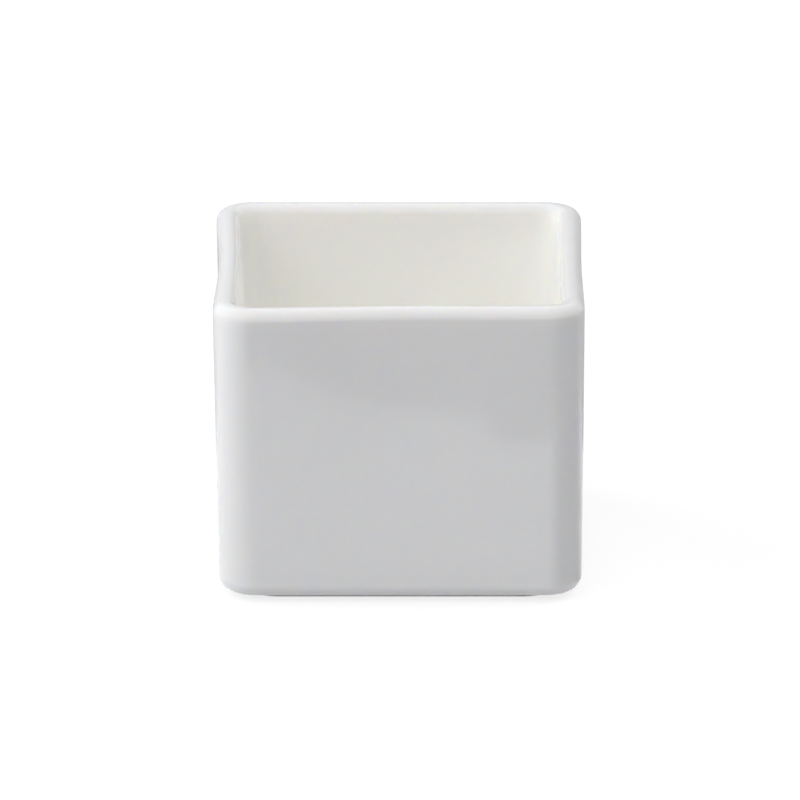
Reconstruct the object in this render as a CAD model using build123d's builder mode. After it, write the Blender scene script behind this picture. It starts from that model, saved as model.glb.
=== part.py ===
"""Square soy sauce dish: a porcelain body, the glaze coat over it and the glaze inside its foot ring.

The frame has its origin at the middle of the foot ring's bearing face, with +Z up out of the dish.
Lengths are in millimetres and angles in degrees. Sizes are of the finished dish, over its glaze.
"""

from build123d import *

import os
from math import radians, tan

# Outside
rim_side = 60.0
height = 50.0
outer_draft = 0.7
corner_radius = 6.0
base_round = 2.6
rim_bow = 0.4

# Wall and rim
rim_wall = 3.7
rim_flat = 0.25
rim_outer_round = 1.9

# Cavity
inner_draft = 2.8
cavity_rim_corner = 3.0
cavity_floor_corner = 12.0
floor_round = 4.0
floor_thickness = 4.2

# Foot ring and the shallow well inside it
foot_height = 0.8
foot_margin = 1.0
foot_width = 3.0
foot_corner = 6.0
foot_round = 0.4
well_depth = 1.6
well_corner = 3.5
well_round = 0.8

# Glaze, and the height up to which it is wiped off the well's wall
glaze = 0.25
wipe_height = 0.7

# How far a cutting solid stands past the face it opens
cut_overlap = 1.0

# Levels and sides that follow from the sizes above
floor_level = well_depth + floor_thickness
base_side = rim_side - 2 * (height - foot_height) * tan(radians(outer_draft))
foot_side = base_side - 2 * (base_round + foot_margin)
well_side = foot_side - 2 * foot_width

# A round stays inside the wall or corner that it is cut on
ROUND_LIMIT = 0.9
OUTER_SHARE_LIMIT = 0.7
base_edge = min(base_round, ROUND_LIMIT * corner_radius)
floor_edge = min(floor_round, ROUND_LIMIT * cavity_floor_corner)
foot_edge = min(foot_round, ROUND_LIMIT * foot_height)
rim_rounds = rim_wall - rim_flat
rim_outer_edge = min(rim_outer_round, OUTER_SHARE_LIMIT * rim_rounds)
rim_inner_edge = rim_rounds - rim_outer_edge

# A curve on five control points reaches this share of its middle point's offset
MIDDLE_POINT_SHARE = 6 / 16


def bowed_square(level, side, corner, bow):
    """Square at a level, with round corners and sides that draw in by bow at their middle."""
    half = side / 2
    straight = half - corner
    middle = half - bow / MIDDLE_POINT_SHARE
    side_points = [
        Vector(half, -straight),
        Vector(half, -straight / 2),
        Vector(middle, 0),
        Vector(half, straight / 2),
        Vector(half, straight),
    ]
    with BuildSketch(Plane.XY.offset(level)) as outline:
        with BuildLine():
            for turn in (0, 90, 180, 270):
                Bezier(*[point.rotate(Axis.Z, turn) for point in side_points])
                CenterArc(Vector(straight, straight).rotate(Axis.Z, turn), corner, turn, 90)
        make_face()
    return outline.sketch


def bow_at(level):
    """Draw-in of the walls at a level: none where they meet the base, all of it at the rim."""
    return rim_bow * (level - foot_height) / (height - foot_height)


def outer_section(level, inset):
    """Outline of the outer walls at a level."""
    side = rim_side - 2 * (height - level) * tan(radians(outer_draft)) - 2 * inset
    return bowed_square(level, side, corner_radius - inset, bow_at(level))


def cavity_section(level, inset):
    """Outline of the cavity at a level; its corners open out towards the floor."""
    side = rim_side - 2 * rim_wall - 2 * (height - level) * tan(radians(inner_draft)) + 2 * inset
    depth_share = (height - level) / (height - floor_level)
    corner = cavity_rim_corner + (cavity_floor_corner - cavity_rim_corner) * depth_share
    return bowed_square(level, side, corner + inset, bow_at(level))


def cup(inset):
    """The dish above its foot ring, with its whole surface moved into the wall by inset."""
    with BuildPart() as shell:
        loft(sections=[outer_section(foot_height + inset, inset), outer_section(height - inset, inset)])
        fillet(shell.faces().sort_by(Axis.Z)[0].edges(), base_edge - inset)
        cavity_levels = (floor_level - inset, height + cut_overlap)
        loft(sections=[cavity_section(level, inset) for level in cavity_levels], mode=Mode.SUBTRACT)
        cavity_floor = shell.faces().filter_by(GeomType.PLANE).sort_by(Axis.Z)[1]
        fillet(cavity_floor.edges(), floor_edge + inset)
        rim = shell.faces().sort_by(Axis.Z)[-1]
        fillet(rim.outer_wire().edges(), rim_outer_edge - inset)
        rim = shell.faces().sort_by(Axis.Z)[-1]
        fillet(rim.inner_wires()[0].edges(), rim_inner_edge - inset)
    return shell.part


def foot_well(inset):
    """The hollow inside the foot ring, as a solid, with its walls and ceiling moved in by inset."""
    with BuildPart() as hollow:
        with BuildSketch(Plane.XY):
            RectangleRounded(well_side - 2 * inset, well_side - 2 * inset, well_corner - inset)
        extrude(amount=well_depth + glaze - inset)
        fillet(hollow.faces().sort_by(Axis.Z)[-1].edges(), well_round - inset)
    return hollow.part


# Porcelain body: the cup under its glaze, on a bare foot ring
with BuildPart() as porcelain_body:
    add(cup(glaze))
    with BuildSketch(Plane.XY):
        RectangleRounded(foot_side, foot_side, foot_corner)
    extrude(amount=foot_height + glaze)
    add(foot_well(0), mode=Mode.SUBTRACT)
    fillet(porcelain_body.faces().sort_by(Axis.Z)[0].edges(), foot_edge)

# Glaze coat: one skin from the foot ring up the outside, over the rim and down into the cavity
with BuildPart() as glaze_coat:
    add(cup(0))
    add(porcelain_body.part, mode=Mode.SUBTRACT)
    with BuildSketch(Plane.XY):
        RectangleRounded(foot_side, foot_side, foot_corner)
    extrude(amount=well_depth + glaze, mode=Mode.SUBTRACT)

# Foot well glaze: the film on the well's ceiling and the upper part of its wall
with BuildPart() as foot_well_glaze:
    add(foot_well(0))
    add(foot_well(glaze), mode=Mode.SUBTRACT)
    split(bisect_by=Plane.XY.offset(wipe_height), keep=Keep.TOP)

os.makedirs("parts", exist_ok=True)
porcelain_body.part.label = "porcelain_body"
export_step(porcelain_body.part, "parts/porcelain_body.step")
glaze_coat.part.label = "glaze_coat"
export_step(glaze_coat.part, "parts/glaze_coat.step")
foot_well_glaze.part.label = "foot_well_glaze"
export_step(foot_well_glaze.part, "parts/foot_well_glaze.step")
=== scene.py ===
"""Square soy sauce dish in white glazed porcelain, seen from the front and a little above.

Lengths are in metres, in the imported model's frame: the origin is the middle of the foot ring's
bearing face and +Z points up out of the dish.
"""

from math import cos, log, pi, radians, sin, tan

import bmesh
import bpy
from mathutils import Matrix, Vector, noise


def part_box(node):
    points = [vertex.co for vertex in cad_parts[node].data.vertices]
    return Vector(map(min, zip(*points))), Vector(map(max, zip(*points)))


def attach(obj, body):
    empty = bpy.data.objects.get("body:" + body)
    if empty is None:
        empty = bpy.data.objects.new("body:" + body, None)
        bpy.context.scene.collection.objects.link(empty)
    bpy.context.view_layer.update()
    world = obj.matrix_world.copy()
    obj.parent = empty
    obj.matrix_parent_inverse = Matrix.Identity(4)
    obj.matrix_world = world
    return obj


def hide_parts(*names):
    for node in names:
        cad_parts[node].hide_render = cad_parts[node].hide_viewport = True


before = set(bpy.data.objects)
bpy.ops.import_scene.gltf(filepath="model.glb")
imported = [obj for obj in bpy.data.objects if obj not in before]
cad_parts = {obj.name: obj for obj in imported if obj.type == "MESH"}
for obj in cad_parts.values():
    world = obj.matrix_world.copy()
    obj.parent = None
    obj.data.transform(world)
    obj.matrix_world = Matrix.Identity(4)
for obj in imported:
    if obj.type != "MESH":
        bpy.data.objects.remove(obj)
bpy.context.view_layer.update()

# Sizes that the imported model's nodes give
coat_low, coat_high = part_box("glaze_coat")
film_low, film_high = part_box("foot_well_glaze")
HEIGHT = coat_high.z
FOOT_HEIGHT = coat_low.z
WELL_HALF = film_high.x
WELL_CEILING = film_high.z

# Walls and rounds, over the glaze
OUTER_DRAFT = radians(0.7)
CORNER_RADIUS = 0.0060
BASE_ROUND = 0.0026
RIM_WALL = 0.0037
RIM_OUTER_ROUND = 0.0019
RIM_INNER_ROUND = 0.00155
INNER_DRAFT = radians(2.8)
CAVITY_RIM_CORNER = 0.0030
CAVITY_FLOOR_CORNER = 0.0120
FLOOR_ROUND = 0.0040
FLOOR_LEVEL = 0.0058
RIM_HALF = coat_high.x + RIM_OUTER_ROUND * tan(OUTER_DRAFT)

# Foot ring, and how far above the well its seat in the cup is
FOOT_WIDTH = 0.0030
FOOT_CORNER = 0.0060
FOOT_ROUND = 0.0004
FOOT_HALF = WELL_HALF + FOOT_WIDTH
WELL_CORNER = 0.0035
WELL_ROUND = 0.0008
SEAT_RISE = 0.0004
FOOT_SEAT = WELL_CEILING + SEAT_RISE

# How the kiln left this dish: the draw-in of each wall at the rim's middle and the cavity's share of
# it, the shift of the rim against the foot, the lift of the front rim at its middle and towards its
# right end, and the slow waves of the walls
RIGHT_BOW, BACK_BOW, LEFT_BOW, FRONT_BOW = 0.00024, 0.00010, 0.00066, 0.00065
CAVITY_BOW_SHARE = 0.3
RIM_SHIFT = Vector((-0.0003, 0, 0))
FRONT_LIFT = 0.00013
FRONT_TWIST = 0.00030
WAVE_HEIGHT = 0.00004
WAVE_LENGTH = 0.018

# Whites, each as the two ends of a cloudy change: the glaze outside; on the cavity's walls, lighter and
# warmer as painted light for the brighter, warmer light inside; in the cavity's corners and below a level,
# the ivory of pooled glaze made lighter still as painted light; and at the base edge, lighter as painted
# light that lifts its shade. A corner is given in corner radii. The white changes in a band below the rim
# and in one above the base.
GLAZE_AND_PAINTED_LIGHT_WHITES = (
    ((0.846, 0.843, 0.834), (0.864, 0.861, 0.852)),
    ((0.928, 0.914, 0.882), (0.944, 0.930, 0.898)),
    ((0.994, 0.974, 0.884), (0.998, 0.978, 0.888)),
    ((0.936, 0.934, 0.926), (0.956, 0.954, 0.946)),
)
# Where the pooled glaze and its painted light sit in the cavity
POOL_AND_PAINTED_LIGHT_LEVEL = 0.022
POOL_AND_PAINTED_LIGHT_FADE = 0.012
POOL_AND_PAINTED_LIGHT_CORNER = 1.3
RIM_BAND = 0.0022
BASE_BAND = 0.0046

# Glaze surface: how fine its clouds and its orange peel are, the peel's strength and depth, the
# roughness at the two ends of the clouds, and the roughness that is added in the cavity
CLOUD_SCALE = 70.0
PEEL_SCALE = 420.0
PEEL_STRENGTH = 0.2
PEEL_DEPTH = 0.00002
GLOSS_RANGE = (0.05, 0.09)
CAVITY_DULLING = 0.5

# Bare porcelain: the two ends of its colour, and the fineness, strength and depth of its grain
BISQUE_COLOURS = ((0.74, 0.71, 0.65), (0.84, 0.81, 0.75))
GRAIN_SCALE = 3000.0
GRAIN_STRENGTH = 0.4
GRAIN_DEPTH = 0.00003

# Mesh steps, and the angle from which an edge stays sharp
SIDE_STEPS = 36
HALF_CORNER_STEPS = 24
ROUND_STEPS = 10
WALL_STEPS = 28
SHARP_ANGLE = radians(50)

# Floor: the colour that lights the dish, and the glow and the shaded colour that add up to the white
# that the camera and the glaze see
FLOOR_REACH = 4.0
FLOOR_DROP = 0.00002
FLOOR_COLOUR = (0.55, 0.55, 0.56)
FLOOR_GLOW = 0.78
FLOOR_SHADED = (0.27, 0.27, 0.27)

# Cards that only the glaze mirrors; their levels keep them apart where they overlap. The front card is
# given by the points of its near edge and the side card by its sector round the dish's right front corner,
# which is darkest between its two inner angles. A fade runs from the cards' white to their dark. A back
# card is a name, its side of the middle and a grey.
CARD_LEVEL = 0.00002
SIDE_CARD_LEVEL = 0.00001
APRON_LEVEL = 0.0
CARD_REACH = 1.5
CARD_WHITE = 0.95
CARD_DARK = 0.04
FRONT_CARD_EDGE = (
    (-0.1400, -0.142),
    (-0.0260, -0.142),
    (-0.0175, -0.147),
    (-0.0137, -0.141),
    (-0.0050, -0.134),
    (0.0030, -0.128),
    (0.0100, -0.120),
    (0.0130, -0.107),
    (0.1500, -0.104),
)
FRONT_CARD_FADE = (-0.140, -0.030)
APRON_FADE = (-0.060, -0.260)
APRON_REACH = (-0.140, 0.030)
SIDE_CARD_SECTOR = (5, 50, 95, 135)
SIDE_CARD_START = 0.009
BACK_CARD_START = 0.045
BACK_CARD_DISTANCE = 1.0
BACK_CARD_WIDTH = 0.8
BACK_CARD_HEIGHT = 0.7
BACK_CARDS = (("left_back_card", -1, 0.55), ("right_back_card", 1, 0.5))

# Lights. A soft light is an azimuth, an elevation and a strength, and the key's place is an azimuth and
# an elevation. Azimuth 0 is the camera's side and 90 degrees is +X.
LIGHT_COLOUR = (0.967, 0.975, 1.0)
SOFT_LIGHT_FADE = 10.0
SOFT_LIGHTS = ((345, 45, 2.25), (97, 45, 1.88), (150, 25, 1.77), (0, 90, 0.30))
KEY_PLACE = (265, 30)
KEY_DISTANCE = 1.2
KEY_WIDTH = 1.9
KEY_HEIGHT = 1.3
KEY_POWER = 15.0


def side_points(half, corner, bow):
    """One side of a round-cornered square, from one corner's middle to just short of the next's.

    Its straight part draws in by bow at the middle.
    """
    straight = half - corner
    points = []
    for step in range(HALF_CORNER_STEPS):
        angle = pi / 4 * (step / HALF_CORNER_STEPS - 1)
        points.append((straight + corner * cos(angle), -straight + corner * sin(angle)))
    for step in range(SIDE_STEPS):
        run = step / SIDE_STEPS
        draw_in = bow * 16 * run**2 * (1 - run) ** 2
        points.append((half - draw_in, straight * (2 * run - 1)))
    for step in range(HALF_CORNER_STEPS):
        angle = pi / 4 * step / HALF_CORNER_STEPS
        points.append((straight + corner * cos(angle), straight + corner * sin(angle)))
    return points


def ring(level, half, corner, depth=0.0):
    """A closed row of points round the dish at a level, with the kiln's bow, shift and waves.

    The bow falls off with the depth in the wall, from its full size outside to the cavity's share.
    """
    bow_share = 1 - (1 - CAVITY_BOW_SHARE) * min(depth / RIM_WALL, 1.0)
    height_share = max(0.0, (level - FOOT_HEIGHT) / (HEIGHT - FOOT_HEIGHT))
    points = []
    for turn, bow in enumerate((RIGHT_BOW, BACK_BOW, LEFT_BOW, FRONT_BOW)):
        quarter_turn = Matrix.Rotation(turn * pi / 2, 3, "Z")
        for x, y in side_points(half, corner, bow * bow_share * height_share):
            point = quarter_turn @ Vector((x, y, level))
            outward = Vector((point.x, point.y, 0)).normalized()
            wave = WAVE_HEIGHT * height_share * noise.noise(point / WAVE_LENGTH)
            rise = (FRONT_LIFT + FRONT_TWIST * point.x / RIM_HALF) * max(0.0, -point.y / RIM_HALF)
            lift = Vector((0, 0, rise * height_share))
            points.append(point + RIM_SHIFT * height_share + outward * wave + lift)
    return points


def outer_ring(level, inset):
    """The outer walls' outline at a level, moved in from them by inset."""
    half = RIM_HALF - (HEIGHT - level) * tan(OUTER_DRAFT) - inset
    return ring(level, half, CORNER_RADIUS - inset, inset)


def cavity_ring(level, inset):
    """The cavity's outline at a level, moved in from its walls by inset."""
    half = RIM_HALF - RIM_WALL - (HEIGHT - level) * tan(INNER_DRAFT) - inset
    depth_share = (HEIGHT - level) / (HEIGHT - FLOOR_LEVEL)
    corner = CAVITY_RIM_CORNER + (CAVITY_FLOOR_CORNER - CAVITY_RIM_CORNER) * depth_share
    return ring(level, half, corner - inset, RIM_WALL + inset)


def rounding(radius, lean):
    """Distances from a level face and from a wall that leans off square to it, along their round."""
    places = []
    for step in range(ROUND_STEPS + 1):
        angle = (pi / 2 - lean) * step / ROUND_STEPS
        from_face = radius * (1 - cos(angle))
        from_wall = radius * (1 / cos(lean) - sin(angle) - cos(angle) * tan(lean))
        places.append((from_face, from_wall))
    return places


def levels_between(start, end):
    """Evenly spaced levels of a wall, without its two ends."""
    return [start + (end - start) * step / WALL_STEPS for step in range(1, WALL_STEPS)]


def cup_rings():
    """Rings up the cavity, over the rim, down to the base and up inside it to the foot's seat."""
    cove = rounding(FLOOR_ROUND, INNER_DRAFT)
    rim_inside = rounding(RIM_INNER_ROUND, INNER_DRAFT)
    rim_outside = rounding(RIM_OUTER_ROUND, -OUTER_DRAFT)
    base = rounding(BASE_ROUND, OUTER_DRAFT)
    rings = [cavity_ring(FLOOR_LEVEL + rise, inset) for rise, inset in cove]
    for level in levels_between(FLOOR_LEVEL + cove[-1][0], HEIGHT - rim_inside[-1][0]):
        rings.append(cavity_ring(level, 0))
    rings += [cavity_ring(HEIGHT - drop, -inset) for drop, inset in reversed(rim_inside)]
    rings += [outer_ring(HEIGHT - drop, inset) for drop, inset in rim_outside]
    for level in levels_between(HEIGHT - rim_outside[-1][0], FOOT_HEIGHT + base[-1][0]):
        rings.append(outer_ring(level, 0))
    rings += [outer_ring(FOOT_HEIGHT + rise, inset) for rise, inset in reversed(base)]
    rings += [ring(level, FOOT_HALF, FOOT_CORNER) for level in (FOOT_HEIGHT, FOOT_SEAT)]
    return rings


def foot_rings():
    """Rings from the seat down the foot ring, across its bearing face and up into the well."""
    edge = rounding(FOOT_ROUND, 0)
    ceiling = rounding(WELL_ROUND, 0)
    rings = [ring(FOOT_SEAT, FOOT_HALF, FOOT_CORNER)]
    rings += [ring(rise, FOOT_HALF - inset, FOOT_CORNER - inset) for rise, inset in reversed(edge)]
    rings += [ring(rise, WELL_HALF + inset, WELL_CORNER + inset) for rise, inset in edge]
    for drop, inset in reversed(ceiling):
        rings.append(ring(WELL_CEILING - drop, WELL_HALF - inset, WELL_CORNER - inset))
    return rings


def add_cap(mesh, border):
    """Closes a ring of vertices with a square grid whose sides follow the ring."""
    count = len(border) // 4
    right, back = border[: count + 1], border[count : 2 * count + 1]
    left = border[2 * count : 3 * count + 1][::-1]
    front = [border[0]] + border[3 * count :][::-1]
    grid = [[None] * (count + 1) for _ in range(count + 1)]
    for i in range(count + 1):
        for j in range(count + 1):
            if j == 0:
                grid[i][j] = right[i]
            elif j == count:
                grid[i][j] = left[i]
            elif i == 0:
                grid[i][j] = front[j]
            elif i == count:
                grid[i][j] = back[j]
            else:
                s, t = i / count, j / count
                across = right[i].co * (1 - t) + left[i].co * t
                along = front[j].co * (1 - s) + back[j].co * s
                near = right[0].co * (1 - t) + left[0].co * t
                far = right[-1].co * (1 - t) + left[-1].co * t
                grid[i][j] = mesh.verts.new(across + along - near * (1 - s) - far * s)
    for i in range(count):
        for j in range(count):
            mesh.faces.new((grid[i][j], grid[i + 1][j], grid[i + 1][j + 1], grid[i][j + 1]))


def closed_piece(name, rings):
    """A piece whose surface runs through the rings in order and is closed at both ends."""
    mesh = bmesh.new()
    rows = [[mesh.verts.new(point) for point in points] for points in rings]
    for row, following in zip(rows, rows[1:]):
        for i in range(len(row)):
            mesh.faces.new((row[i - 1], row[i], following[i], following[i - 1]))
    add_cap(mesh, rows[0])
    add_cap(mesh, rows[-1])
    bmesh.ops.recalc_face_normals(mesh, faces=mesh.faces)
    data = bpy.data.meshes.new(name)
    mesh.to_mesh(data)
    mesh.free()
    data.shade_smooth()
    data.set_sharp_from_angle(angle=SHARP_ANGLE)
    piece = bpy.data.objects.new(name, data)
    bpy.context.scene.collection.objects.link(piece)
    return piece


def add_node(tree, kind, inputs=(), **settings):
    """A new node; an input is given as a value, or as the socket that it is linked to."""
    made = tree.nodes.new(kind)
    for name, value in settings.items():
        setattr(made, name, value)
    for name, value in dict(inputs).items():
        if isinstance(value, bpy.types.NodeSocket):
            tree.links.new(value, made.inputs[name])
        else:
            made.inputs[name].default_value = value
    return made


def new_material(name):
    """An empty node material and its output node."""
    material = bpy.data.materials.new(name)
    material.use_nodes = True
    material.node_tree.nodes.clear()
    output = material.node_tree.nodes.new("ShaderNodeOutputMaterial")
    return material, material.node_tree, output


def object_axes(tree):
    """X, Y and Z of a place in its object's own space."""
    place = add_node(tree, "ShaderNodeTexCoord").outputs["Object"]
    return add_node(tree, "ShaderNodeSeparateXYZ", {0: place}).outputs


def mix(tree, share, first, second):
    """Colour between two colours."""
    inputs = {0: share, "A": first, "B": second}
    return add_node(tree, "ShaderNodeMix", inputs, data_type="RGBA").outputs["Result"]


def between(tree, share, first, second):
    """Value between two values."""
    return add_node(tree, "ShaderNodeMapRange", {"Value": share, 3: first, 4: second}).outputs["Result"]


def fade(tree, value, start, end):
    """0 at start and before it, 1 at end and past it, and a smooth change between them."""
    return add_node(
        tree,
        "ShaderNodeMapRange",
        {"Value": value, 1: start, 2: end, 3: 0.0, 4: 1.0},
        interpolation_type="SMOOTHSTEP",
    ).outputs["Result"]


def calculate(tree, operation, *values):
    """Result of a Math node on values or sockets."""
    return add_node(tree, "ShaderNodeMath", dict(enumerate(values)), operation=operation).outputs[0]


def glaze_masks(tree):
    """Three shares, 0 to 1: the cavity, its pooled glaze with painted light, the base edge's painted
    light.
    """
    axes = object_axes(tree)
    x, y = (calculate(tree, "ABSOLUTE", axes[axis]) for axis in ("X", "Y"))
    farthest = calculate(tree, "MAXIMUM", x, y)
    nearest = calculate(tree, "MINIMUM", x, y)
    inner_edge = RIM_HALF - RIM_WALL

    # In the cavity: above its floor, within its walls and below the rim
    above = calculate(tree, "GREATER_THAN", axes["Z"], (WELL_CEILING + FLOOR_LEVEL) / 2)
    outside = fade(tree, farthest, inner_edge, inner_edge + RIM_INNER_ROUND)
    near_rim = fade(tree, axes["Z"], HEIGHT - RIM_BAND, HEIGHT - RIM_INNER_ROUND / 3)
    within = calculate(tree, "SUBTRACT", 1.0, calculate(tree, "MAXIMUM", outside, near_rim))
    cavity = calculate(tree, "MULTIPLY", above, within)

    # Pooled glaze, with painted light on top: in the cavity's corners and low in it
    corner_start = inner_edge - POOL_AND_PAINTED_LIGHT_CORNER * CAVITY_RIM_CORNER
    corner = fade(tree, nearest, corner_start, inner_edge - CAVITY_RIM_CORNER / 2)
    high = fade(tree, axes["Z"], POOL_AND_PAINTED_LIGHT_LEVEL, POOL_AND_PAINTED_LIGHT_LEVEL + POOL_AND_PAINTED_LIGHT_FADE)
    low_or_corner = calculate(tree, "MAXIMUM", corner, calculate(tree, "SUBTRACT", 1.0, high))
    pool_and_painted_light = calculate(tree, "MULTIPLY", cavity, low_or_corner)

    # Base edge, which gets a lighter white as painted light that lifts its shade
    base = fade(tree, axes["Z"], BASE_BAND, FOOT_HEIGHT)
    return cavity, pool_and_painted_light, base


def glaze_material():
    """Clear glossy glaze over white porcelain."""
    material, tree, output = new_material("glaze")
    place = add_node(tree, "ShaderNodeTexCoord").outputs["Object"]

    # Cloudy whites: lighter and warmer in the cavity than outside, which is painted light; lighter still
    # in its corners and low part, pooled glaze with painted light on top; and lighter at the base edge,
    # painted light
    cavity, pool_and_painted_light, base = glaze_masks(tree)
    cloud = add_node(tree, "ShaderNodeTexNoise", {"Vector": place, "Scale": CLOUD_SCALE, "Detail": 3.0})
    cloudiness = cloud.outputs["Fac"]
    whites = [mix(tree, cloudiness, (*darker, 1), (*paler, 1)) for darker, paler in GLAZE_AND_PAINTED_LIGHT_WHITES]
    outside_white, wall_painted_light_white, pool_and_painted_light_white, base_painted_light_white = whites
    inside = mix(tree, pool_and_painted_light, wall_painted_light_white, pool_and_painted_light_white)
    outside = mix(tree, base, outside_white, base_painted_light_white)

    # Orange-peel surface outside; a smooth but duller one in the cavity
    peel = add_node(tree, "ShaderNodeTexNoise", {"Vector": place, "Scale": PEEL_SCALE, "Detail": 2.0})
    relief = between(tree, cavity, PEEL_STRENGTH, 0.0)
    bump = add_node(
        tree,
        "ShaderNodeBump",
        {"Height": peel.outputs["Fac"], "Strength": relief, "Distance": PEEL_DEPTH},
    )
    gloss = between(tree, cloudiness, *GLOSS_RANGE)
    rough = calculate(tree, "MULTIPLY_ADD", cavity, CAVITY_DULLING, gloss)
    shader = add_node(
        tree,
        "ShaderNodeBsdfPrincipled",
        {
            "Base Color": mix(tree, cavity, outside, inside),
            "Roughness": rough,
            "Normal": bump.outputs["Normal"],
            "IOR": 1.62,
            "Subsurface Weight": 1.0,
            "Subsurface Radius": (1.0, 0.85, 0.65),
            "Subsurface Scale": 0.0015,
        },
    )
    tree.links.new(shader.outputs["BSDF"], output.inputs["Surface"])
    return material


def bisque_material():
    """Bare fired porcelain: matt, with a fine grain."""
    material, tree, output = new_material("bisque")
    place = add_node(tree, "ShaderNodeTexCoord").outputs["Object"]
    noise_inputs = {"Vector": place, "Scale": GRAIN_SCALE, "Detail": 4.0}
    grain = add_node(tree, "ShaderNodeTexNoise", noise_inputs).outputs["Fac"]
    darker, paler = BISQUE_COLOURS
    colour = mix(tree, grain, (*darker, 1), (*paler, 1))
    bump_inputs = {"Height": grain, "Strength": GRAIN_STRENGTH, "Distance": GRAIN_DEPTH}
    bump = add_node(tree, "ShaderNodeBump", bump_inputs)
    shader = add_node(
        tree,
        "ShaderNodeBsdfPrincipled",
        {"Base Color": colour, "Roughness": 0.8, "Normal": bump.outputs["Normal"]},
    )
    tree.links.new(shader.outputs["BSDF"], output.inputs["Surface"])
    return material


def is_background_ray(tree):
    """1 for a camera, glossy or transmission ray and 0 for the rays that light the scene."""
    path = add_node(tree, "ShaderNodeLightPath").outputs
    sight = calculate(tree, "MAXIMUM", path["Is Camera Ray"], path["Is Glossy Ray"])
    return calculate(tree, "MAXIMUM", sight, path["Is Transmission Ray"])


def make_sheet(name, corners, faces):
    """A thin stage piece."""
    data = bpy.data.meshes.new(name)
    data.from_pydata(corners, [], faces)
    sheet = bpy.data.objects.new(name, data)
    bpy.context.scene.collection.objects.link(sheet)
    return sheet


def make_floor():
    """A pale floor that is white to the camera and in reflections, and keeps the dish's shadow."""
    signs = ((-1, -1), (1, -1), (1, 1), (-1, 1))
    corners = [(FLOOR_REACH * x, FLOOR_REACH * y, -FLOOR_DROP) for x, y in signs]
    floor = make_sheet("floor", corners, [(0, 1, 2, 3)])
    material, tree, output = new_material("floor")
    pale = add_node(tree, "ShaderNodeBsdfDiffuse", {"Color": (*FLOOR_COLOUR, 1)})
    glow = add_node(tree, "ShaderNodeEmission", {"Color": (1, 1, 1, 1), "Strength": FLOOR_GLOW})
    shaded = add_node(tree, "ShaderNodeBsdfDiffuse", {"Color": (*FLOOR_SHADED, 1)})
    white = add_node(tree, "ShaderNodeAddShader", {0: glow.outputs[0], 1: shaded.outputs[0]})
    seen = add_node(
        tree,
        "ShaderNodeMixShader",
        {0: is_background_ray(tree), 1: pale.outputs[0], 2: white.outputs[0]},
    )
    tree.links.new(seen.outputs[0], output.inputs["Surface"])
    floor.data.materials.append(material)


def direction(azimuth, elevation):
    """Unit vector towards a light; azimuth 0 is the camera's side and 90 degrees is +X."""
    level = cos(radians(elevation))
    return Vector((level * sin(radians(azimuth)), -level * cos(radians(azimuth)), sin(radians(elevation))))


def make_card(name, corners, faces, shade):
    """A card that only the glaze mirrors; shade is a function that gives its grey in its node tree."""
    card = make_sheet(name, corners, faces)
    card.visible_camera = False
    card.visible_diffuse = False
    card.visible_transmission = False
    card.visible_shadow = False
    material, tree, output = new_material(name)
    paper = add_node(tree, "ShaderNodeBsdfDiffuse", {"Color": shade(tree)})
    tree.links.new(paper.outputs[0], output.inputs["Surface"])
    card.data.materials.append(material)


def card_grey(tree, darkness):
    """Grey between the cards' white and dark."""
    return between(tree, darkness, CARD_WHITE, CARD_DARK)


def make_front_card():
    """A dark card on the floor in front of the dish, which fades out to the left."""
    left, right = FRONT_CARD_EDGE[0][0], FRONT_CARD_EDGE[-1][0]
    outline = [*FRONT_CARD_EDGE, (right, -CARD_REACH), (left, -CARD_REACH)]
    corners = [(x, y, CARD_LEVEL) for x, y in outline]

    def shade(tree):
        return card_grey(tree, fade(tree, object_axes(tree)["X"], *FRONT_CARD_FADE))

    make_card("front_card", corners, [tuple(range(len(corners)))], shade)


def make_apron():
    """A card on the floor before the dish, under the front card, that darkens away from the dish."""
    left, right = APRON_REACH
    start, end = APRON_FADE
    corners = [(x, y, APRON_LEVEL) for x, y in ((left, start), (left, end), (right, end), (right, start))]

    def shade(tree):
        return card_grey(tree, fade(tree, object_axes(tree)["Y"], start, end))

    make_card("apron", corners, [(0, 1, 2, 3)], shade)


def make_side_card():
    """A card on the floor beside the dish's right front corner, dark in the middle of its sector."""
    middle = Vector((RIM_HALF - CORNER_RADIUS, CORNER_RADIUS - RIM_HALF, SIDE_CARD_LEVEL))
    near = [middle + direction(azimuth, 0) * SIDE_CARD_START for azimuth in SIDE_CARD_SECTOR]
    far = [middle + direction(azimuth, 0) * CARD_REACH for azimuth in SIDE_CARD_SECTOR]
    corners = near + far[::-1]

    def shade(tree):
        axes = object_axes(tree)
        across = calculate(tree, "SUBTRACT", axes["X"], middle.x)
        towards_camera = calculate(tree, "SUBTRACT", middle.y, axes["Y"])
        azimuth = calculate(tree, "ARCTAN2", across, towards_camera)
        front, dark_start, dark_end, back = (radians(angle) for angle in SIDE_CARD_SECTOR)
        darkening = fade(tree, azimuth, front, dark_start)
        clearing = fade(tree, azimuth, dark_end, back)
        return card_grey(tree, calculate(tree, "SUBTRACT", darkening, clearing))

    make_card("side_card", corners, [tuple(range(len(corners)))], shade)


def make_back_cards():
    """Two grey cards that lie on the floor behind the dish and turn up at their far end."""
    start, end = BACK_CARD_START, BACK_CARD_DISTANCE
    rows = ((start, CARD_LEVEL), (end, CARD_LEVEL), (end, BACK_CARD_HEIGHT))
    for name, side, grey in BACK_CARDS:
        corners = [(x, y, z) for y, z in rows for x in (0, side * BACK_CARD_WIDTH)]
        colour = (grey, grey, grey, 1)
        make_card(name, corners, [(0, 1, 3, 2), (2, 3, 5, 4)], lambda tree: colour)


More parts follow.
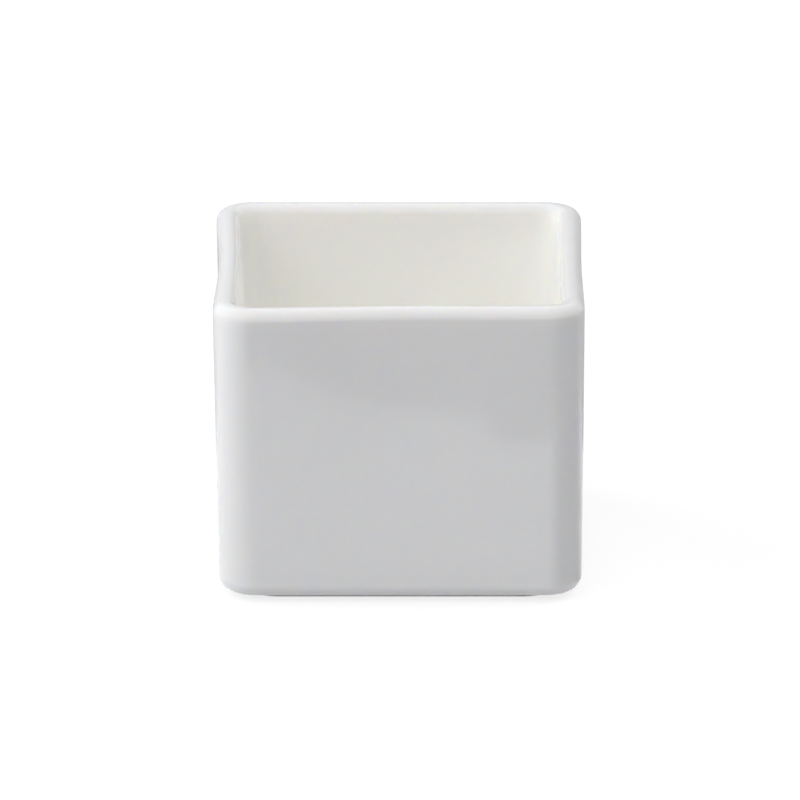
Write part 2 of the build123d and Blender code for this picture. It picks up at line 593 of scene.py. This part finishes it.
def soft_light(tree, towards, strength):
    """Brightness of a soft round patch of sky, which fades out from its middle."""
    place = add_node(tree, "ShaderNodeTexCoord").outputs["Generated"]
    facing = add_node(tree, "ShaderNodeVectorMath", {0: place, 1: towards}, operation="DOT_PRODUCT")
    offset = log(strength) - SOFT_LIGHT_FADE
    exponent = calculate(tree, "MULTIPLY_ADD", facing.outputs["Value"], SOFT_LIGHT_FADE, offset)
    return calculate(tree, "EXPONENT", exponent)


def make_world():
    """Soft light from the front, right, back and above, and a white background."""
    world = bpy.data.worlds.new("studio")
    world.use_nodes = True
    tree = world.node_tree
    tree.nodes.clear()
    output = tree.nodes.new("ShaderNodeOutputWorld")
    total = 0.0
    for azimuth, elevation, strength in SOFT_LIGHTS:
        patch = soft_light(tree, direction(azimuth, elevation), strength)
        total = calculate(tree, "ADD", total, patch)
    light = add_node(tree, "ShaderNodeBackground", {"Color": (*LIGHT_COLOUR, 1), "Strength": total})
    white = add_node(tree, "ShaderNodeBackground", {"Color": (1, 1, 1, 1), "Strength": 1.0})
    mixed = add_node(
        tree,
        "ShaderNodeMixShader",
        {0: is_background_ray(tree), 1: light.outputs[0], 2: white.outputs[0]},
    )
    tree.links.new(mixed.outputs[0], output.inputs["Surface"])
    bpy.context.scene.world = world


def make_softbox(name, towards, distance, width, height, power):
    """A rectangular area lamp that faces the dish and that the glaze doesn't mirror."""
    lamp = bpy.data.lights.new(name, "AREA")
    lamp.shape = "RECTANGLE"
    lamp.size = width
    lamp.size_y = height
    lamp.energy = power
    lamp.color = LIGHT_COLOUR
    box = bpy.data.objects.new(name, lamp)
    box.location = towards * distance
    box.rotation_euler = towards.to_track_quat("Z", "Y").to_euler()
    box.visible_glossy = False
    bpy.context.scene.collection.objects.link(box)


def make_camera():
    """A long lens in front of the dish, looking down at it a little."""
    aim = Vector((-0.0001, 0, 0.02508))
    elevation = radians(18.418)
    distance = 2.1689
    data = bpy.data.cameras.new("camera")
    data.sensor_width = 36.0
    data.lens = 597.4
    data.clip_end = 20.0
    camera = bpy.data.objects.new("camera", data)
    back = Vector((0, -cos(elevation), sin(elevation)))
    camera.location = aim + back * distance
    camera.rotation_euler = back.to_track_quat("Z", "Y").to_euler()
    bpy.context.scene.collection.objects.link(camera)
    bpy.context.scene.camera = camera


# Pieces
glaze = glaze_material()
bisque = bisque_material()

cup = closed_piece("glazed_cup", cup_rings())
cup.data.materials.append(glaze)
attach(cup, "root")
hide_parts("glaze_coat")

foot = closed_piece("bare_foot", foot_rings())
foot.data.materials.append(bisque)
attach(foot, "root")
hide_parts("porcelain_body")

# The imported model's own film of glaze in the well stays
well_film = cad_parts["foot_well_glaze"]
well_film.data.materials[0] = glaze

# Stage
make_floor()
make_world()
make_front_card()
make_apron()
make_side_card()
make_back_cards()
make_softbox("key", direction(*KEY_PLACE), KEY_DISTANCE, KEY_WIDTH, KEY_HEIGHT, KEY_POWER)
make_camera()
bpy.context.scene.view_settings.view_transform = "Standard"
